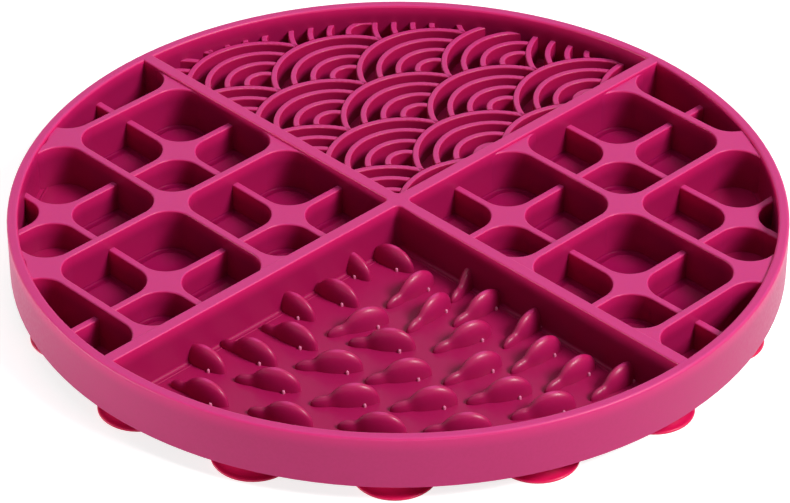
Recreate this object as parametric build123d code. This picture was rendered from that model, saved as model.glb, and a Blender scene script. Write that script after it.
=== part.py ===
from build123d import *
from math import cos, radians, sin, sqrt
import os

# Lick mat: a round tray in four quarters, on a ring of suction cups.
# Millimetres, +Z up, +X right, +Y back. The origin is the middle of the plane
# on which the cups stand; the dividers lie at 45 degrees to X and Y.

# tray
mat_diameter = 200.0
rim_height = 14.4
rim_thickness = 2.8
base_thickness = 1.6
divider_thickness = 3.4
rim_round = 0.8
edge_round = 0.5
centre_round = 1.5

# suction cups: a bell with a foot on the floor, and a thin lip round the foot
cup_count = 16
first_cup_angle = 270.0
cup_margin = 1.0
cup_height = 5.0
bell_top_diameter = 13.0
bell_roof = 1.3
bell_edge = 0.4
foot_width = 1.7
lip_diameter = 21.0
lip_width = 1.9
lip_thickness = 0.6
lip_lift = 0.3
lip_clearance = 0.3

# grid quarters: the walls of each half cell, numbered from the divider
first_wall = 20.0
wall_pitch = 21.2
grid_wall = 2.2
cross_wall = 2.1
pocket_corner = 7.2
grid_below_rim = 0.9
cross_below_rim = 4.9

# wave quarter
wave_half_pitch = 19.2
wave_row_pitch = 13.77
wave_first_column = 0.6
wave_first_row = -10.6
wave_radius = 21.8
wave_core_radius = 5.8
wave_rib = 1.7
wave_ribs_each = 4
wave_columns = 7
wave_rows = 8
wave_below_rim = 5.4
wave_round = 0.4

# nub quarter: radius, angle and turn off its ring of each nub, from the rim inwards
nub_places = (
    (91.8, 228, 0), (91.8, 243, 0), (91.8, 258, 0), (91.8, 273, 0), (91.8, 288, 0), (91.8, 303, 0),
    (82, 234.5, 4), (81, 250, 1), (80.5, 266, -4), (82, 280.5, -6), (81, 296, -7), (82, 310.5, 3),
    (72, 227.5, 8), (70, 243.5, 12), (70.5, 260, 16), (71, 275.5, 7), (71.5, 290.5, -3), (73, 305.5, 7),
    (62, 234, 4), (58, 253.5, 15), (59.5, 270.5, 13), (60.5, 288, 14), (62, 303.5, 9),
    (51, 238.5, -1), (46.5, 265.5, -1), (47.5, 290, 10), (51.5, 308, 13),
    (41, 228.5, 4), (40, 256, 39), (35, 283, 38), (38, 302, 11),
    (30, 236.5, -1), (24.5, 277.5, 38), (27, 311, 20),
    (18, 224, 3), (10, 253.5, -19),
)
nub_length = 17.0
nub_body_length = 12.8
nub_body_width = 4.4
nub_body_height = 6.0
nub_tail_length = 7.4
nub_tail_width = 2.8
nub_tail_height = 2.5

# levels that follow
mat_radius = mat_diameter / 2
inner_radius = mat_radius - rim_thickness
divider_half = divider_thickness / 2
floor_z = cup_height + base_thickness
rim_z = cup_height + rim_height
grid_z = rim_z - grid_below_rim
cross_z = rim_z - cross_below_rim
wave_z = rim_z - wave_below_rim
wave_rib_pitch = (wave_radius - wave_core_radius) / (wave_ribs_each - 1)
tray_depth = rim_z - floor_z
lip_radius = lip_diameter / 2
lip_top = lip_lift + lip_thickness
lip_round = lip_thickness / 3
foot_radius = lip_radius - lip_width - lip_clearance
cup_circle_radius = mat_radius - lip_radius - cup_margin


def save(shape, name):
    shape.label = name
    export_step(shape, f"parts/{name}.step")


def all_solids(shape):
    return shape.solids() if shape is not None else []


def group(solids):
    solids = list(solids)
    return solids[0] if len(solids) == 1 else Compound(children=solids)


def quarter(turn):
    """The space of one quarter, between the dividers and the rim, from the floor up."""
    side = Pos(divider_half, divider_half) * Rectangle(
        mat_radius, mat_radius, align=(Align.MIN, Align.MIN)
    )
    corner = side.vertices().sort_by_distance((0, 0, 0))[:1]
    side = fillet(corner, centre_round)
    return Pos(0, 0, floor_z) * Rot(0, 0, turn) * extrude(Circle(inner_radius) & side, tray_depth)


def trimmed(solids, space):
    """What is left of each solid inside the quarter."""
    kept = []
    for solid in solids:
        kept += [s for s in all_solids(solid & space) if s.volume > 0.5]
    return kept


def round_top(solid, radius, wanted):
    """The solid with its wanted top edges rounded."""
    edges = solid.edges().group_by(Axis.Z)[-1].filter_by(wanted)
    return fillet(edges, radius)


# tray


def base_plate():
    return Pos(0, 0, cup_height) * extrude(Circle(inner_radius), base_thickness)


def outer_rim():
    wall = Pos(inner_radius, cup_height) * Rectangle(
        rim_thickness, rim_height, align=(Align.MIN, Align.MIN)
    )
    wall = fillet(wall.vertices().group_by(Axis.Y)[-1], rim_round)
    return revolve(Plane.XZ * wall, Axis.Z)


def cross_divider():
    arm = Rectangle(mat_diameter, divider_thickness)
    cross = arm + Rot(0, 0, 90) * arm
    inner = cross.vertices().sort_by_distance((0, 0, 0))[:4]
    cross = fillet(inner, centre_round) & Circle(inner_radius)
    walls = Pos(0, 0, floor_z) * extrude(cross, tray_depth)
    ends = inner_radius - divider_thickness
    top = walls.edges().group_by(Axis.Z)[-1]
    sides = top.filter_by(lambda e: sqrt(e.center().X ** 2 + e.center().Y ** 2) < ends)
    return Rot(0, 0, 45) * fillet(sides, edge_round)


# grid quarters


def wall_at(k):
    return 0.0 if k == 0 else first_wall + wall_pitch * (k - 1)


def half_wall(k):
    if k == 0:
        return divider_half
    return (grid_wall if k % 2 == 0 else cross_wall) / 2


def pad(k, j, height):
    """The flat pad with hollow sides where walls k and j cross."""
    x = half_wall(k) + pocket_corner
    y = half_wall(j) + pocket_corner
    corners = [Pos(sx * x, sy * y) * Circle(pocket_corner) for sx in (-1, 1) for sy in (-1, 1)]
    body = extrude(Rectangle(2 * x, 2 * y) - corners, height)
    body = round_top(body, edge_round, lambda e: e.geom_type == GeomType.CIRCLE)
    return Pos(wall_at(k), wall_at(j), floor_z) * body


def bar(k, start, end, height):
    """The straight wall k between two places along it."""
    width = 2 * half_wall(k)
    body = extrude(Rectangle(width, end - start), height)
    body = round_top(body, edge_round, lambda e: e.length > width + 0.01)
    return Pos(wall_at(k), (start + end) / 2, floor_z) * body


def swapped(solid):
    """The same wall along the other axis."""
    return mirror(Rot(0, 0, -90) * solid, Plane.XZ)


def grid_walls():
    height = grid_z - floor_z
    reach = pocket_corner
    bars = []
    for k in (2, 4):
        for j in (0, 2, 4):
            start = wall_at(j) + half_wall(j) + reach
            end = wall_at(j + 2) - half_wall(j + 2) - reach if j < 4 else mat_radius
            if sqrt(wall_at(k) ** 2 + start ** 2) < inner_radius:
                bars.append(bar(k, start, end, height))
    bars += [swapped(b) for b in bars]
    pads = [pad(k, j, height) for k, j in ((0, 2), (0, 4), (2, 0), (4, 0), (2, 2), (2, 4), (4, 2))]
    return bars + pads


def cross_walls():
    height = cross_z - floor_z
    bars = []
    for k in (1, 3):
        for j in (0, 2, 4):
            near = wall_at(j) + half_wall(j)
            middle = wall_at(j + 1)
            reach = half_wall(j + 1) + pocket_corner
            far = wall_at(j + 2) - half_wall(j + 2)
            if j == 4:
                spans = ((near, mat_radius),)
            else:
                spans = ((near, middle - reach), (middle + reach, far))
            for start, end in spans:
                if sqrt(wall_at(k) ** 2 + start ** 2) < inner_radius - 1:
                    bars.append(bar(k, start, end, height))
    bars += [swapped(b) for b in bars]
    pads = [pad(k, j, height) for k, j in ((1, 1), (1, 3), (3, 1), (3, 3))]
    return bars + pads


def grid_quarter(solids, turn):
    return group(trimmed([Rot(0, 0, turn) * s for s in solids], quarter(turn)))


# wave quarter


def wave_centre(i, j):
    return (wave_first_column + wave_half_pitch * i, wave_first_row + wave_row_pitch * j)


def wave_scale(i, j):
    """The ribs of one scale, less what the scales in front of it cover."""
    x, y = wave_centre(i, j)
    ribs = []
    for n in range(wave_ribs_each):
        radius = wave_radius - wave_rib_pitch * n
        ribs.append(Circle(radius) - Circle(radius - wave_rib))
    front = [Pos(dx, dy) * Circle(wave_radius) for dx, dy in (
        (-wave_half_pitch, -wave_row_pitch),
        (wave_half_pitch, -wave_row_pitch),
        (0, -2 * wave_row_pitch),
    )]
    below = Pos(0, -wave_radius) * Rectangle(4 * wave_radius, 2 * wave_radius)
    return [Pos(x, y) * (rib - front - below) for rib in ribs]


def rounded_rib(face):
    rib = Pos(0, 0, floor_z) * extrude(face, wave_z - floor_z)
    return round_top(rib, wave_round, lambda e: e.length > 2 * wave_rib)


def wave_ribs():
    solids = []
    for j in range(wave_rows):
        for i in range(wave_columns):
            if (i + j) % 2 == 1:
                for rib in wave_scale(i, j):
                    solids += [rounded_rib(face) for face in rib.faces()]
    return group(trimmed([Rot(0, 0, 45) * s for s in solids], quarter(45)))


# nub quarter


def half_egg(length, width, height):
    egg = scale(Sphere(1), by=(length / 2, width / 2, height))
    return split(egg, Plane.XY, keep=Keep.TOP)


def nub():
    """A fish-shaped nub along X, head at +X, on z = 0."""
    body = Pos((nub_length - nub_body_length) / 2, 0, 0) * half_egg(
        nub_body_length, nub_body_width, nub_body_height
    )
    tail = Pos((nub_tail_length - nub_length) / 2, 0, 0) * half_egg(
        nub_tail_length, nub_tail_width, nub_tail_height
    )
    return body + tail


def nub_field():
    one = nub()
    space = quarter(225)
    solids = []
    for radius, angle, turn in nub_places:
        place = Pos(radius * cos(radians(angle)), radius * sin(radians(angle)), floor_z)
        solids += trimmed([place * Rot(0, 0, angle + 90 + turn) * one], space)
    return group(solids)


# suction cups


def cup_place(n):
    angle = radians(first_cup_angle + 360 / cup_count * n)
    return Pos(cup_circle_radius * cos(angle), cup_circle_radius * sin(angle), 0)


def cup_lip():
    section = Pos(lip_radius - lip_width, lip_lift) * Rectangle(
        lip_width, lip_thickness, align=(Align.MIN, Align.MIN)
    )
    section = fillet(section.vertices().sort_by(Axis.X)[-2:], lip_round)
    return revolve(Plane.XZ * section, Axis.Z)


def cup_skirt():
    """The bell: it flares from the base to the lip, and its foot stands inside the lip."""
    top = bell_top_diameter / 2
    edge = lip_radius - lip_round
    edge_z = lip_top + bell_edge
    inside = foot_radius - foot_width
    roof = cup_height - bell_roof
    with BuildSketch(Plane.XZ) as section:
        with BuildLine():
            Line((0, cup_height), (top, cup_height))
            Bezier(
                (top, cup_height),
                (top, (cup_height + edge_z) / 2),
                ((top + edge) / 2, edge_z),
                (edge, edge_z),
            )
            Line((edge, edge_z), (edge, lip_top))
            Polyline((edge, lip_top), (foot_radius, lip_top), (foot_radius, 0), (inside, 0))
            Bezier((inside, 0), (inside, roof), (0, roof))
            Line((0, roof), (0, cup_height))
        make_face()
    return revolve(section.sketch, Axis.Z)


def main():
    os.makedirs("parts", exist_ok=True)
    save(base_plate(), "base_plate")
    save(outer_rim(), "outer_rim")
    save(cross_divider(), "cross_divider")
    grid = grid_walls()
    cross = cross_walls()
    for side, turn in (("left", 135), ("right", -45)):
        save(grid_quarter(grid, turn), f"{side}_grid_walls")
        save(grid_quarter(cross, turn), f"{side}_cross_walls")
    save(wave_ribs(), "wave_ribs")
    save(nub_field(), "nub_field")
    lip = cup_lip()
    skirt = cup_skirt()
    for n in range(cup_count):
        save(cup_place(n) * lip, f"cup_{n + 1:02d}_lip")
        save(cup_place(n) * skirt, f"cup_{n + 1:02d}_skirt")


main()
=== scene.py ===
from math import cos, pi, radians, sin, sqrt

import bpy
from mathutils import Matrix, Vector


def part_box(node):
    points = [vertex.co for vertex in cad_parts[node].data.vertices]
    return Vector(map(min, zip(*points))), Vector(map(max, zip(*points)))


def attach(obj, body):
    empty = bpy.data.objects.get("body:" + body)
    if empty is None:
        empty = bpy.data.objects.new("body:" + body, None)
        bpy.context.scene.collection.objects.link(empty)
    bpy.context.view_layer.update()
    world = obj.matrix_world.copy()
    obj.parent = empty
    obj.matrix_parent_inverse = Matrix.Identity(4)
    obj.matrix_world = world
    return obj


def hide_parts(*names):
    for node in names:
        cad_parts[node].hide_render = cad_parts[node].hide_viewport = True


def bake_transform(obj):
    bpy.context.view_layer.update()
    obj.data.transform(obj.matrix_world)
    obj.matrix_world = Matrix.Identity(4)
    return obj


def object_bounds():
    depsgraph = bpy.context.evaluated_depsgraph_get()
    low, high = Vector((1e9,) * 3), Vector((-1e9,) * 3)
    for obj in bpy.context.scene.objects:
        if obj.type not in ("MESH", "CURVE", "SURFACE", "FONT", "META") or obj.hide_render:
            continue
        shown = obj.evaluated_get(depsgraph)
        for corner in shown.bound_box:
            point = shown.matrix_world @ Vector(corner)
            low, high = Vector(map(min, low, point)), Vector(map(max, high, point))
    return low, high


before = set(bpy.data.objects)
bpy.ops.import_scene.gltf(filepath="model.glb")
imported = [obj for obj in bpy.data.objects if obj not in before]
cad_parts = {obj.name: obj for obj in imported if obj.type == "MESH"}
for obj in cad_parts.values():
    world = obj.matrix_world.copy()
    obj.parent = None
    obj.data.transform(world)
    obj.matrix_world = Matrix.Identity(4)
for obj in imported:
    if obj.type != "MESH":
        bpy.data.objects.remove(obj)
cad_low, cad_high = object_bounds()
scene = bpy.context.scene
MM = 0.001

# the tray's levels and sizes, most of them read from its solids
MAT_RADIUS = cad_high.x
BASE_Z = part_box("base_plate")[0].z
FLOOR_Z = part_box("base_plate")[1].z
INNER_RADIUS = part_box("base_plate")[1].x
RIM_Z = cad_high.z
DIVIDER_HALF = 1.7 * MM
QUARTER_EDGES = (radians(225), radians(315))

# fish nubs: radius in mm, angle and turn off the ring in degrees, from the rim inwards
NUB_PLACES = (
    (91.8, 228, 0), (91.8, 243, 0), (91.8, 258, 0), (91.8, 273, 0), (91.8, 288, 0), (91.8, 303, 0),
    (82, 234.5, 4), (81, 250, 1), (80.5, 266, -4), (82, 280.5, -6), (81, 296, -7), (82, 310.5, 3),
    (72, 227.5, 8), (70, 243.5, 12), (70.5, 260, 16), (71, 275.5, 7), (71.5, 290.5, -3),
    (73, 305.5, 7),
    (62, 234, 4), (58, 253.5, 15), (59.5, 270.5, 13), (60.5, 288, 14), (62, 303.5, 9),
    (51, 238.5, -1), (46.5, 265.5, -1), (47.5, 290, 10), (51.5, 308, 13),
    (41, 228.5, 4), (40, 256, 39), (35, 283, 38), (38, 302, 11),
    (30, 236.5, -1), (24.5, 277.5, 38), (27, 311, 20),
    (18, 224, 3), (10, 253.5, -19),
)
NUB_LENGTH = 17.0 * MM
NUB_BODY = (12.8 * MM, 4.4 * MM, 6.0 * MM)
NUB_TAIL = (7.4 * MM, 2.8 * MM, 2.5 * MM)
NUB_STATIONS = 30
NUB_SIDES = 12
NUB_BLEND = 9.0
SUNK = 0.3 * MM
PIP_RADIUS = 0.42 * MM
PIP_HEIGHT = 0.9 * MM
PIP_PLACE = 4.6 * MM
PIP_SIDES = 10

# suction cups
CUPS = 16
CUP_SIDES = 48
BELL_TOP = 6.5 * MM
LIP_RADIUS = 10.5 * MM
LIP_EDGE_Z = 0.75 * MM
LIP_EDGE_ROUND = 0.2 * MM
BELL_ROOF_Z = 3.7 * MM
BELL_STEPS = 9

# small cove where the floor meets the rim and the dividers, and the mould line along it
COVE_RADIUS = 0.9 * MM
COVE_STEPS = 6
RIM_COVE_SIDES = 160
MOULD_LINE = 0.55 * MM
MOULD_LINE_PLACE = 0.95 * MM
MOULD_LINE_HEIGHT = 0.16 * MM
MOULD_LINE_STEPS = 6

# grid pockets: walls counted outwards from the divider, cross walls odd and grid walls even
GRID_TURNS = (radians(135), radians(-45))
FIRST_WALL = 20.0 * MM
WALL_PITCH = 21.2 * MM
GRID_WALL_HALF = 1.1 * MM
CROSS_WALL_HALF = 1.05 * MM
POCKET_CORNER = 7.2 * MM
POCKET_CORNER_STEPS = 12
PAN_COVE = 0.6 * MM
PAN_LINE_PLACE = 1.6 * MM
PAN_LINE_HEIGHT = 0.18 * MM
PAN_LIFT = 0.05 * MM

# where a divider's top runs into the rim
END_LENGTH = 2.6 * MM
END_REACH = 1.2 * MM
END_HEIGHT = 2.0 * MM
END_ROUND = 0.5 * MM
END_ROUND_STEPS = 6
END_INSET = 0.02 * MM

# the silicone's grain and its painted glow and sheen, as distances from a wall's top or from the
# outer wall
GLOW_DEPTH = 4.5 * MM
GLOW_EDGE = 0.2 * MM
GLOW_SHARE = 0.9
TOP_FADE = (0.7 * MM, 0.3 * MM)
TOP_FACING = (0.5, 0.9)
OUTSIDE_FADE = (0.8 * MM, 0.3 * MM)
OUTSIDE_SHARE = 0.45
CLOUD_SIZE = 28 * MM
GRAIN_SIZE = 0.9 * MM
GRAIN_DEPTH = 0.05 * MM
LIGHT_REACH = 1.0 * MM
SMOOTH_ANGLE = radians(50)
MERGE_DISTANCE = 0.001 * MM

# the photograph's viewing angle
LENS = 154.475
CAMERA_PLACE = (5.654 * MM, -721.697 * MM, 503.97 * MM)
CAMERA_AIM = (-0.589 * MM, -23.597 * MM, RIM_Z)

# soft boxes: place, target, width and height in metres, and watts; the strips stand low, at the
# height of the outer wall
SOFT_BOXES = {
    "key": ((1.94, -0.86, 2.0), (0, 0, 0), (0.9, 0.9), 92),
    "top": ((0.1, 0.3, 1.8), (0, 0, 0), (1.4, 1.4), 7),
    "left_strip": ((-1.1, -0.15, 0.04), (0, 0, 0.012), (0.9, 0.05), 8),
    "front_strip": ((0.1, -1.2, 0.04), (0, 0, 0.012), (0.9, 0.05), 3),
}
FILL_LIGHT = 0.13
FLOOR_LIFT = 0.8
FLOOR_SIZE = 6.0


def linear(hex_colour):
    """An sRGB hex value as the linear colour that shaders take."""
    parts = [int(hex_colour[i:i + 2], 16) / 255 for i in (1, 3, 5)]
    parts = [c / 12.92 if c <= 0.04045 else ((c + 0.055) / 1.055) ** 2.4 for c in parts]
    return (*parts, 1.0)


def add_node(tree, kind, values=None, links=None, **settings):
    """A node with its settings, its socket values and the sockets that feed it."""
    node = tree.nodes.new(kind)
    for name, value in settings.items():
        setattr(node, name, value)
    for name, value in (values or {}).items():
        node.inputs[name].default_value = value
    for name, source in (links or {}).items():
        tree.links.new(source, node.inputs[name])
    return node


# materials


def moulded_silicone(name, top, deep, glow, pale_sheen, sheen=0.4):
    """Food-grade silicone from a fine-blasted steel mould, slightly see-through. Its colour has
    light and shade painted in: painted shade leaves the floor and the feet of the walls deep
    red, a painted glow below each wall's top stands for light that comes through the silicone
    there, and a painted sheen makes the tops and the outer wall paler, broken by soft patches and
    fine dust specks. The blasted grain is finer than drawn here, where it has to show."""
    material = bpy.data.materials.new(name)
    material.use_nodes = True
    tree = material.node_tree
    tree.nodes.clear()
    place = add_node(tree, "ShaderNodeTexCoord").outputs["Object"]
    level = add_node(tree, "ShaderNodeSeparateXYZ", None, {"Vector": place}).outputs["Z"]
    # painted shade and glow: by height, from the deep colour with painted shade low down to the
    # glow colour, a painted glow, just under each wall's top
    lit_through = add_node(
        tree, "ShaderNodeMapRange",
        {"From Min": top - GLOW_DEPTH, "From Max": top - GLOW_EDGE, "To Max": GLOW_SHARE},
        {"Value": level}, interpolation_type="SMOOTHSTEP",
    )
    inner = add_node(
        tree, "ShaderNodeMix", {"A": linear(deep), "B": linear(glow)},
        {"Factor": lit_through.outputs["Result"]}, data_type="RGBA",
    )
    # painted sheen and light on the up-facing tops, near each wall's top
    normal = add_node(tree, "ShaderNodeNewGeometry").outputs["Normal"]
    upward = add_node(tree, "ShaderNodeSeparateXYZ", None, {"Vector": normal}).outputs["Z"]
    facing = add_node(
        tree, "ShaderNodeMapRange",
        {"From Min": TOP_FACING[0], "From Max": TOP_FACING[1]}, {"Value": upward},
    )
    raised = add_node(
        tree, "ShaderNodeMapRange",
        {"From Min": top - TOP_FADE[0], "From Max": top - TOP_FADE[1]}, {"Value": level},
    )
    tops = add_node(
        tree, "ShaderNodeMath", None,
        {0: facing.outputs["Result"], 1: raised.outputs["Result"]}, operation="MULTIPLY",
    )
    # painted sheen on the outer wall, near the mat's edge
    flat = add_node(
        tree, "ShaderNodeVectorMath", {1: (1, 1, 0)}, {0: place}, operation="MULTIPLY",
    )
    reach = add_node(
        tree, "ShaderNodeVectorMath", None, {0: flat.outputs["Vector"]}, operation="LENGTH",
    )
    outside = add_node(
        tree, "ShaderNodeMapRange",
        {"From Min": MAT_RADIUS - OUTSIDE_FADE[0], "From Max": MAT_RADIUS - OUTSIDE_FADE[1],
         "To Max": OUTSIDE_SHARE},
        {"Value": reach.outputs["Value"]},
    )
    shown = add_node(
        tree, "ShaderNodeMath", None,
        {0: tops.outputs["Value"], 1: outside.outputs["Result"]}, operation="MAXIMUM",
    )
    cloud = add_node(
        tree, "ShaderNodeTexNoise", {"Scale": 1 / CLOUD_SIZE, "Detail": 3.0}, {"Vector": place},
    )
    patch = add_node(
        tree, "ShaderNodeMapRange",
        {"From Min": 0.3, "From Max": 0.7, "To Min": 0.86, "To Max": 1.0},
        {"Value": cloud.outputs["Fac"]},
    )
    clouded = add_node(
        tree, "ShaderNodeMath", None,
        {0: shown.outputs["Value"], 1: patch.outputs["Result"]}, operation="MULTIPLY",
    )
    grain = add_node(
        tree, "ShaderNodeTexNoise", {"Scale": 1 / GRAIN_SIZE, "Detail": 2.0}, {"Vector": place},
    )
    dust = add_node(
        tree, "ShaderNodeMapRange",
        {"From Min": 0.35, "From Max": 0.65, "To Min": 0.86, "To Max": 1.06},
        {"Value": grain.outputs["Fac"]},
    )
    # the painted sheen, broken by soft patches and fine dust specks
    sheen_and_dust = add_node(
        tree, "ShaderNodeMath", None,
        {0: clouded.outputs["Value"], 1: dust.outputs["Result"]},
        operation="MULTIPLY", use_clamp=True,
    )
    # the deep colour with its painted glow, paled where the painted sheen lies
    tint = add_node(
        tree, "ShaderNodeMix", {"B": linear(pale_sheen)},
        {"A": inner.outputs["Result"], "Factor": sheen_and_dust.outputs["Value"]}, data_type="RGBA",
    )
    speckle = add_node(
        tree, "ShaderNodeMapRange",
        {"From Min": 0.3, "From Max": 0.7, "To Min": -0.04, "To Max": 0.05},
        {"Value": grain.outputs["Fac"]},
    )
    gloss = add_node(
        tree, "ShaderNodeMapRange", {"To Min": 0.34, "To Max": 0.5},
        {"Value": sheen_and_dust.outputs["Value"]},
    )
    roughness = add_node(
        tree, "ShaderNodeMath", None,
        {0: gloss.outputs["Result"], 1: speckle.outputs["Result"]}, operation="ADD",
    )
    relief = add_node(
        tree, "ShaderNodeBump", {"Strength": 0.12, "Distance": GRAIN_DEPTH},
        {"Height": grain.outputs["Fac"]},
    )
    shader = add_node(
        tree, "ShaderNodeBsdfPrincipled",
        {"IOR": 1.41, "Specular IOR Level": sheen, "Subsurface Weight": 0.1,
         "Subsurface Scale": LIGHT_REACH, "Subsurface Radius": (2.4, 0.4, 0.8)},
        {"Base Color": tint.outputs["Result"], "Roughness": roughness.outputs["Value"],
         "Normal": relief.outputs["Normal"]},
    )
    add_node(tree, "ShaderNodeOutputMaterial", None, {"Surface": shader.outputs["BSDF"]})
    return material


# base colours with painted light in them: the deep colour is darkened with painted shade for floors
# and low walls, the glow colours are a painted glow below the walls' tops, and the pale colour is a
# painted sheen for the tops and the outer wall
DEEP, GLOW, PALE_SHEEN = "#9E124E", "#D01A66", "#C4347A"
# painted glow colours for the nubs and the wave ribs
NUB_GLOW, RIB_GLOW = "#B41658", "#B4124E"
# the pockets' colour is darkened with painted shade; the cups' colour is brightened with painted
# light
POCKET_SHADED, CUP_PAINTED_GLOW = "#8A0A44", "#D40E50"
# the pips' colours are a painted highlight
PIP_PAINTED_LIT, PIP_HIGHLIGHT = "#C04A7E", "#D4749C"
silicone = moulded_silicone("moulded_silicone", RIM_Z, DEEP, GLOW, PALE_SHEEN)
floor_silicone = moulded_silicone(
    "floor_moulded_silicone", RIM_Z, DEEP, GLOW, PALE_SHEEN, sheen=0.2,
)
# the nubs' painted glow and painted sheen rise towards their crests
nub_silicone = moulded_silicone(
    "nub_moulded_silicone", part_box("nub_field")[1].z, DEEP, NUB_GLOW, PALE_SHEEN,
)
# the pockets are duller than the open floors, and their colour is darker with painted shade
pocket_shaded_silicone = moulded_silicone(
    "pocket_shaded_moulded_silicone", RIM_Z, POCKET_SHADED, GLOW, PALE_SHEEN, sheen=0.05,
)
# the pips are painted pale, a painted highlight such as small points that catch the light show
pip_highlight_silicone = moulded_silicone(
    "pip_highlight_moulded_silicone", FLOOR_Z + PIP_HEIGHT, PIP_PAINTED_LIT, PIP_HIGHLIGHT, PIP_HIGHLIGHT,
)
# the cups' bells are so thin that light comes through; that light is painted in as a clearer,
# brighter red
cup_glow_silicone = moulded_silicone("cup_glow_moulded_silicone", RIM_Z, CUP_PAINTED_GLOW, GLOW, PALE_SHEEN)
# each kind of wall has a painted glow towards its own top
WALL_GLOWS = {
    "left_grid_walls": GLOW, "right_grid_walls": GLOW,
    "left_cross_walls": GLOW, "right_cross_walls": GLOW,
    "wave_ribs": RIB_GLOW,
}
node_silicone = {
    node: moulded_silicone(node + "_moulded_silicone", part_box(node)[1].z, DEEP, glow, PALE_SHEEN)
    for node, glow in WALL_GLOWS.items()
}
node_silicone["base_plate"] = floor_silicone


# modelling by hand


def start_ring(name, sides, radius, turn=(0.0, 0.0, 0.0)):
    """An open ring round the origin, in edit mode with all of it selected."""
    bpy.ops.object.select_all(action="DESELECT")
    bpy.ops.mesh.primitive_circle_add(vertices=sides, radius=radius, rotation=turn)
    piece = bpy.context.object
    piece.name = name
    bpy.ops.object.transform_apply(location=True, rotation=True, scale=True)
    bpy.ops.object.mode_set(mode="EDIT")
    bpy.ops.mesh.select_all(action="SELECT")
    return piece


def extrude_ring(step, factors, centre):
    """The selected ring drawn on by a step and then resized about its new centre."""
    bpy.ops.mesh.extrude_region_move(TRANSFORM_OT_translate={"value": step})
    bpy.ops.transform.resize(value=factors, center_override=centre)


def face_outwards():
    """All faces of the mesh in edit mode, turned outwards."""
    bpy.ops.mesh.select_all(action="SELECT")
    bpy.ops.mesh.normals_make_consistent(inside=False)


def close_ends():
    bpy.ops.mesh.select_all(action="SELECT")
    bpy.ops.mesh.fill_holes(sides=0)
    face_outwards()


def lathe(name, sides, profile):
    """A turned form: rings drawn on from one radius and height of the profile to the next."""
    radius, height = profile[0]
    piece = start_ring(name, sides, radius)
    bpy.ops.transform.translate(value=(0, 0, height))
    for next_radius, next_height in profile[1:]:
        factor = next_radius / radius
        extrude_ring((0, 0, next_height - height), (factor, factor, 1), (0, 0, next_height))
        radius, height = next_radius, next_height
    return piece


def select_only(piece):
    bpy.ops.object.select_all(action="DESELECT")
    piece.select_set(True)
    bpy.context.view_layer.objects.active = piece


def copied(piece, name):
    """A copy with its own mesh."""
    select_only(piece)
    bpy.ops.object.duplicate()
    copy = bpy.context.object
    copy.name = name
    return copy


def settle(piece, place, turn=0.0):
    """Puts a piece in its place, with the place kept in its mesh."""
    select_only(piece)
    piece.location = place
    piece.rotation_euler = (0, 0, turn)
    bpy.ops.object.transform_apply(location=True, rotation=True, scale=True)


def joined(pieces, name):
    select_only(pieces[0])
    for piece in pieces:
        piece.select_set(True)
    bpy.ops.object.join()
    whole = bpy.context.object
    whole.name = name
    return whole


def cut_away(piece, point, inward):
    """Cuts a piece off at a plane and closes it there."""
    select_only(piece)
    bpy.ops.object.mode_set(mode="EDIT")
    bpy.ops.mesh.select_all(action="SELECT")
    bpy.ops.mesh.bisect(plane_co=point, plane_no=inward, clear_inner=True)
    bpy.ops.mesh.select_all(action="SELECT")
    bpy.ops.mesh.fill_holes(sides=0)
    bpy.ops.object.mode_set(mode="OBJECT")


def finish_piece(piece, material=silicone):
    select_only(piece)
    bpy.ops.object.shade_smooth_by_angle(angle=SMOOTH_ANGLE)
    piece.data.materials.clear()
    piece.data.materials.append(material)


# fish nubs


def egg(along, length):
    """How full an egg of that length is at a place along it, from its middle."""
    return sqrt(max(0.0, 1 - (2 * along / length) ** 2))


def nub_section(along):
    """Half width and height of the fish at a place along it: body and tail, run together."""
    body = egg(along - (NUB_LENGTH - NUB_BODY[0]) / 2, NUB_BODY[0])
    tail = egg(along - (NUB_TAIL[0] - NUB_LENGTH) / 2, NUB_TAIL[0])
    width = (body * NUB_BODY[1] / 2) ** NUB_BLEND + (tail * NUB_TAIL[1] / 2) ** NUB_BLEND
    height = (body * NUB_BODY[2]) ** NUB_BLEND + (tail * NUB_TAIL[2]) ** NUB_BLEND
    return width ** (1 / NUB_BLEND), height ** (1 / NUB_BLEND)


def fish_nub():
    """One fish along X, head at +X, its belly sunk a little below z = 0."""
    places = [-NUB_LENGTH / 2 * cos(pi * i / NUB_STATIONS) for i in range(1, NUB_STATIONS)]
    width, height = nub_section(places[0])
    nub = start_ring("fish_nub", NUB_SIDES, 1.0, (0, pi / 2, 0))
    bpy.ops.transform.resize(value=(1, width, height), center_override=(0, 0, 0))
    bpy.ops.transform.translate(value=(places[0], 0, 0))
    for before, after in zip(places, places[1:]):
        old_width, old_height = nub_section(before)
        width, height = nub_section(after)
        factors = (1, width / old_width, height / old_height)
        extrude_ring((after - before, 0, 0), factors, (after, 0, 0))
    close_ends()
    bpy.ops.object.mode_set(mode="OBJECT")
    rounding = nub.modifiers.new("rounding", "SUBSURF")
    rounding.levels = 1
    rounding.render_levels = 1
    bpy.ops.object.modifier_apply(modifier="rounding")
    cut_away(nub, (0, 0, -SUNK), (0, 0, 1))
    return nub


def side_pip(side):
    """The small round pip at the foot of the fish, beside its body."""
    half_width = nub_section(PIP_PLACE)[0]
    profile = (
        (PIP_RADIUS, -SUNK), (PIP_RADIUS, PIP_HEIGHT * 0.55), (PIP_RADIUS * 0.8, PIP_HEIGHT * 0.85),
        (PIP_RADIUS * 0.35, PIP_HEIGHT),
    )
    pip = lathe("side_pip", PIP_SIDES, profile)
    close_ends()
    bpy.ops.transform.translate(value=(PIP_PLACE, side * half_width, 0))
    bpy.ops.object.mode_set(mode="OBJECT")
    return pip


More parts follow.
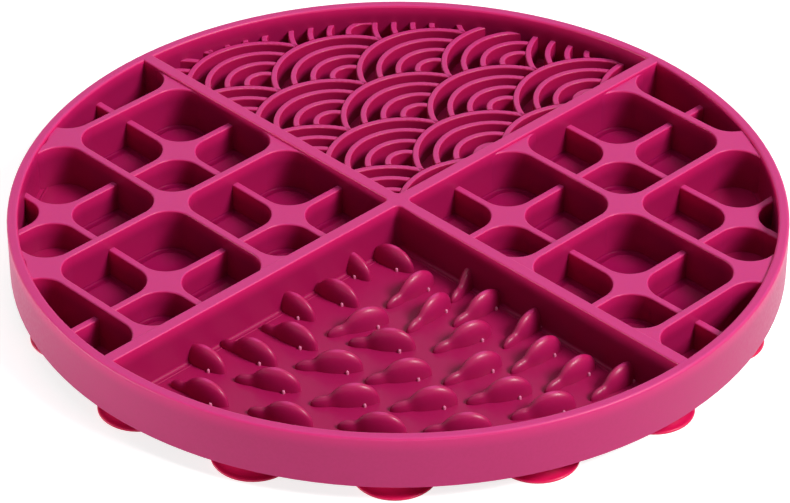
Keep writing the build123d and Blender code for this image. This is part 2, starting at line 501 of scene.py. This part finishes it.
def nub_school(name, pattern, material):
    """The pattern at each fish's place, cut off at the dividers."""
    school = []
    for radius, angle, turn in NUB_PLACES:
        bearing = radians(angle)
        nub = copied(pattern, "nub")
        place = (radius * MM * cos(bearing), radius * MM * sin(bearing), FLOOR_Z)
        settle(nub, place, bearing + pi / 2 + radians(turn))
        for edge, side in zip(QUARTER_EDGES, (1, -1)):
            inward = Vector((-sin(edge), cos(edge), 0)) * side
            cut_away(nub, inward * DIVIDER_HALF / 2, inward)
        if nub.data.vertices:
            school.append(nub)
        else:
            bpy.data.objects.remove(nub)
    bpy.data.objects.remove(pattern)
    whole = joined(school, name)
    finish_piece(whole, material)
    return whole


nubs = nub_school("fish_nubs", fish_nub(), nub_silicone)
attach(nubs, "mat")
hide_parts("nub_field")
pips = nub_school("nub_pips", joined([side_pip(-1), side_pip(1)], "pip_pattern"), pip_highlight_silicone)
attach(pips, "mat")


# suction cups


def curve(points, share):
    """A point of the smooth curve that the given points draw out."""
    while len(points) > 1:
        points = [a.lerp(b, share) for a, b in zip(points, points[1:])]
    return points[0]


def bell_profile():
    """From the base down the flare, round the thin lip, and up the hollow to its crown."""
    edge = LIP_RADIUS - LIP_EDGE_ROUND
    flare = [Vector(p) for p in (
        (BELL_TOP, BASE_Z), (BELL_TOP, (BASE_Z + LIP_EDGE_Z) / 2),
        ((BELL_TOP + edge) / 2, LIP_EDGE_Z), (edge, LIP_EDGE_Z),
    )]
    hollow = [Vector(p) for p in (
        (LIP_RADIUS - 0.9 * MM, 0), (LIP_RADIUS - 2.2 * MM, BELL_ROOF_Z * 0.75),
        (0.2 * MM, BELL_ROOF_Z),
    )]
    profile = [Vector((BELL_TOP, BASE_Z + SUNK))]
    profile += [curve(flare, i / BELL_STEPS) for i in range(BELL_STEPS + 1)]
    profile += [Vector((LIP_RADIUS, 0.5 * MM)), Vector((LIP_RADIUS, 0.25 * MM))]
    profile += [Vector((edge, 0.03 * MM))]
    profile += [curve(hollow, i / BELL_STEPS) for i in range(BELL_STEPS + 1)]
    return [tuple(p) for p in profile]


def suction_cups():
    pattern = lathe("cup_pattern", CUP_SIDES, bell_profile())
    close_ends()
    bpy.ops.object.mode_set(mode="OBJECT")
    for n in range(CUPS):
        name = f"cup_{n + 1:02d}"
        low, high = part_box(name + "_lip")
        x, y = (low.x + high.x) / 2, (low.y + high.y) / 2
        bell = copied(pattern, name + "_bell")
        settle(bell, (x, y, 0))
        finish_piece(bell, cup_glow_silicone)
        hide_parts(name + "_skirt", name + "_lip")
        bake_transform(bell)
    bpy.data.objects.remove(pattern)


suction_cups()


# coves


def cove_offsets(radius, line_place, line_height):
    """Distance from the wall and height above the floor of points down a cove's hollow and over
    the low round ridge of the mould line further in."""
    turns = [pi / 2 * i / COVE_STEPS for i in range(COVE_STEPS + 1)]
    hollow = [(radius * (1 - cos(t)), radius * (1 - sin(t))) for t in turns]
    turns = [pi * i / MOULD_LINE_STEPS for i in range(MOULD_LINE_STEPS + 1)]
    ridge = [(line_place + MOULD_LINE * (1 - cos(t)) / 2, line_height * sin(t)) for t in turns]
    return hollow + ridge


def rim_cove():
    """A ring of cove at the foot of the rim, its back and foot sunk in the wall and floor."""
    offsets = cove_offsets(COVE_RADIUS, MOULD_LINE_PLACE, MOULD_LINE_HEIGHT)
    back = INNER_RADIUS + SUNK
    profile = [(back, FLOOR_Z - SUNK), (back, FLOOR_Z + COVE_RADIUS)]
    profile += [(INNER_RADIUS - out, FLOOR_Z + up) for out, up in offsets]
    profile += [(INNER_RADIUS - MOULD_LINE_PLACE - MOULD_LINE, FLOOR_Z - SUNK), profile[0]]
    cove = lathe("rim_cove", RIM_COVE_SIDES, profile)
    bpy.ops.mesh.select_all(action="SELECT")
    bpy.ops.mesh.remove_doubles(threshold=MERGE_DISTANCE)
    face_outwards()
    bpy.ops.object.mode_set(mode="OBJECT")
    return cove


def divider_cove():
    """A straight length of cove along X, on the +Y side of a divider."""
    offsets = cove_offsets(COVE_RADIUS, MOULD_LINE_PLACE, MOULD_LINE_HEIGHT)
    back = DIVIDER_HALF - SUNK
    section = [(back, FLOOR_Z - SUNK), (back, FLOOR_Z + COVE_RADIUS)]
    section += [(DIVIDER_HALF + out, FLOOR_Z + up) for out, up in offsets]
    section += [(DIVIDER_HALF + MOULD_LINE_PLACE + MOULD_LINE, FLOOR_Z - SUNK)]
    bpy.ops.object.select_all(action="DESELECT")
    bpy.ops.mesh.primitive_plane_add(size=COVE_RADIUS)
    cove = bpy.context.object
    bpy.ops.object.mode_set(mode="EDIT")
    bpy.ops.mesh.select_all(action="SELECT")
    bpy.ops.mesh.merge(type="CENTER")
    bpy.ops.transform.translate(value=(DIVIDER_HALF, *section[0]))
    for (out, up), (next_out, next_up) in zip(section, section[1:]):
        bpy.ops.mesh.extrude_region_move(
            TRANSFORM_OT_translate={"value": (0, next_out - out, next_up - up)}
        )
    bpy.ops.mesh.select_all(action="SELECT")
    bpy.ops.mesh.edge_face_add()
    bpy.ops.mesh.extrude_region_move(
        TRANSFORM_OT_translate={"value": (INNER_RADIUS - DIVIDER_HALF, 0, 0)}
    )
    face_outwards()
    bpy.ops.object.mode_set(mode="OBJECT")
    return cove


def floor_coves():
    coves = [rim_cove()]
    near = divider_cove()
    far = copied(near, "far_cove")
    select_only(far)
    far.scale = (1, -1, 1)
    bpy.ops.object.transform_apply(location=True, rotation=True, scale=True)
    bpy.ops.object.mode_set(mode="EDIT")
    face_outwards()
    bpy.ops.object.mode_set(mode="OBJECT")
    # the wave and nub quarters' sides of the dividers; the pockets' floors have coves of their own
    for n, side in enumerate((near, far, near, far)):
        arm = copied(side, "arm_cove")
        settle(arm, (0, 0, 0), radians(45 + 90 * n))
        coves.append(arm)
    bpy.data.objects.remove(near)
    bpy.data.objects.remove(far)
    whole = joined(coves, "floor_coves")
    finish_piece(whole, floor_silicone)
    return whole


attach(floor_coves(), "mat")


# pocket floors


def wall_side(k, side):
    """The face of wall k on its outer (1) or inner (-1) side, out from the divider's middle."""
    if k == 0:
        return DIVIDER_HALF
    half = GRID_WALL_HALF if k % 2 == 0 else CROSS_WALL_HALF
    return FIRST_WALL + WALL_PITCH * (k - 1) + side * half


def pocket_pan(low, high, round_corners):
    """A floor for one pocket from corner to corner. The corners at its pads are round, and its
    edge turns up into the walls by a cove with the mould line beside it."""
    bpy.ops.object.select_all(action="DESELECT")
    bpy.ops.mesh.primitive_plane_add(size=1)
    pan = bpy.context.object
    pan.scale = (high[0] - low[0] + 2 * SUNK, high[1] - low[1] + 2 * SUNK, 1)
    pan.location = ((low[0] + high[0]) / 2, (low[1] + high[1]) / 2, FLOOR_Z - SUNK)
    middle = pan.location.copy()
    bpy.ops.object.transform_apply(location=True, rotation=True, scale=True)
    bpy.ops.object.mode_set(mode="EDIT")
    bpy.ops.mesh.select_all(action="DESELECT")
    bpy.ops.object.mode_set(mode="OBJECT")
    for corner in pan.data.vertices:
        corner.select = (corner.co.x > middle.x, corner.co.y > middle.y) in round_corners
    bpy.ops.object.mode_set(mode="EDIT")
    bpy.ops.mesh.bevel(
        offset=POCKET_CORNER + SUNK, segments=POCKET_CORNER_STEPS, affect="VERTICES", profile=0.5,
    )
    bpy.ops.mesh.select_all(action="SELECT")
    bpy.ops.mesh.extrude_region_move(TRANSFORM_OT_translate={"value": (0, 0, SUNK + PAN_COVE)})
    out, up = -SUNK, PAN_COVE
    for next_out, next_up in cove_offsets(PAN_COVE, PAN_LINE_PLACE, PAN_LINE_HEIGHT):
        bpy.ops.mesh.inset(thickness=next_out - out, depth=max(next_up, PAN_LIFT) - up)
        out, up = next_out, max(next_up, PAN_LIFT)
    face_outwards()
    bpy.ops.object.mode_set(mode="OBJECT")
    return pan


def pocket_floors():
    pans = []
    for k in range(4):
        for j in range(4):
            low = (wall_side(k, 1), wall_side(j, 1))
            high = (wall_side(k + 1, -1), wall_side(j + 1, -1))
            if sqrt(high[0] ** 2 + high[1] ** 2) > INNER_RADIUS:
                continue
            # pads stand where two grid walls or two cross walls meet
            pads = [
                (a == 1, b == 1) for a in (0, 1) for b in (0, 1)
                if (k + a + j + b) % 2 == 0 and k + a + j + b > 0
            ]
            pan = pocket_pan(low, high, pads)
            for turn in GRID_TURNS:
                turned = copied(pan, "pan")
                settle(turned, (0, 0, 0), turn)
                pans.append(turned)
            bpy.data.objects.remove(pan)
    whole = joined(pans, "pocket_floors")
    finish_piece(whole, pocket_shaded_silicone)
    return whole


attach(pocket_floors(), "mat")


# divider ends


def divider_end():
    """The divider's top carried on over the rounded inner edge of the rim, along X."""
    bpy.ops.object.select_all(action="DESELECT")
    bpy.ops.mesh.primitive_cube_add(size=1)
    end = bpy.context.object
    end.scale = (END_LENGTH, 2 * (DIVIDER_HALF - END_INSET), END_HEIGHT)
    middle = INNER_RADIUS + END_REACH - END_LENGTH / 2
    end.location = (middle, 0, RIM_Z - END_INSET - END_HEIGHT / 2)
    bpy.ops.object.transform_apply(location=True, rotation=True, scale=True)
    bpy.ops.object.mode_set(mode="EDIT")
    bpy.ops.mesh.select_mode(type="EDGE")
    bpy.ops.mesh.select_all(action="DESELECT")
    bpy.ops.object.mode_set(mode="OBJECT")
    for edge in end.data.edges:
        a, b = (end.data.vertices[i].co for i in edge.vertices)
        edge.select = min(a.z, b.z) > RIM_Z - END_HEIGHT / 2 and abs(a.x - b.x) > END_LENGTH / 2
    bpy.ops.object.mode_set(mode="EDIT")
    bpy.ops.mesh.bevel(offset=END_ROUND, segments=END_ROUND_STEPS, profile=0.5)
    bpy.ops.mesh.select_mode(type="VERT")
    bpy.ops.object.mode_set(mode="OBJECT")
    return end


def divider_ends():
    pattern = divider_end()
    ends = []
    for n in range(4):
        end = copied(pattern, "end")
        settle(end, (0, 0, 0), radians(45 + 90 * n))
        ends.append(end)
    bpy.data.objects.remove(pattern)
    whole = joined(ends, "divider_ends")
    finish_piece(whole)
    return whole


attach(divider_ends(), "mat")

for node, node_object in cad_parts.items():
    node_object.data.materials.clear()
    node_object.data.materials.append(node_silicone.get(node, silicone))


# camera
camera_data = bpy.data.cameras.new("camera")
camera_data.lens = LENS
camera_data.sensor_width = 36.0
camera_data.clip_end = 20.0
camera = bpy.data.objects.new("camera", camera_data)
scene.collection.objects.link(camera)
camera.location = CAMERA_PLACE
camera.rotation_euler = (Vector(CAMERA_AIM) - camera.location).to_track_quat("-Z", "Y").to_euler()
scene.camera = camera


# floor and light
def seen_as_white(tree):
    """One on rays that look at the background, straight or by way of a shiny or clear surface."""
    ray = add_node(tree, "ShaderNodeLightPath")
    seen = add_node(
        tree, "ShaderNodeMath", None,
        {0: ray.outputs["Is Camera Ray"], 1: ray.outputs["Is Glossy Ray"]}, operation="MAXIMUM",
    )
    seen_all = add_node(
        tree, "ShaderNodeMath", None,
        {0: seen.outputs["Value"], 1: ray.outputs["Is Transmission Ray"]}, operation="MAXIMUM",
    )
    return seen_all.outputs["Value"]


def studio_white(name, shade, lift):
    """A pale matte floor that the camera sees as white and that keeps the mat's shadow."""
    material = bpy.data.materials.new(name)
    material.use_nodes = True
    tree = material.node_tree
    tree.nodes.clear()
    paint = add_node(tree, "ShaderNodeBsdfDiffuse", {"Color": linear(shade)})
    strength = add_node(
        tree, "ShaderNodeMapRange", {"To Min": 0.0, "To Max": lift},
        {"Value": seen_as_white(tree)},
    )
    white = add_node(
        tree, "ShaderNodeEmission", {"Color": (1, 1, 1, 1)},
        {"Strength": strength.outputs["Result"]},
    )
    both = add_node(
        tree, "ShaderNodeAddShader", None,
        {0: paint.outputs["BSDF"], 1: white.outputs["Emission"]},
    )
    add_node(tree, "ShaderNodeOutputMaterial", None, {"Surface": both.outputs["Shader"]})
    return material


bpy.ops.object.select_all(action="DESELECT")
bpy.ops.mesh.primitive_plane_add(size=FLOOR_SIZE, location=(0, 0, 0))
floor = bpy.context.object
floor.name = "studio_floor"
floor.data.materials.append(studio_white("pale_paper", "#C8C7C6", FLOOR_LIFT))


def area_light(name, place, target, size, watts):
    """A soft box of a width and height, turned towards its target."""
    data = bpy.data.lights.new(name, "AREA")
    data.shape = "RECTANGLE"
    data.size, data.size_y = size
    data.energy = watts
    light = bpy.data.objects.new(name, data)
    scene.collection.objects.link(light)
    light.location = place
    light.rotation_euler = (Vector(target) - light.location).to_track_quat("-Z", "Y").to_euler()


for box, (place, target, size, watts) in SOFT_BOXES.items():
    area_light(box, place, target, size, watts)

world = bpy.data.worlds.new("studio")
scene.world = world
world.use_nodes = True
world.node_tree.nodes.clear()
strength = add_node(
    world.node_tree, "ShaderNodeMapRange", {"To Min": FILL_LIGHT, "To Max": 1.0},
    {"Value": seen_as_white(world.node_tree)},
)
sky = add_node(
    world.node_tree, "ShaderNodeBackground", {"Color": (1, 1, 1, 1)},
    {"Strength": strength.outputs["Result"]},
)
add_node(world.node_tree, "ShaderNodeOutputWorld", None, {"Surface": sky.outputs["Background"]})

scene.view_settings.view_transform = "Standard"
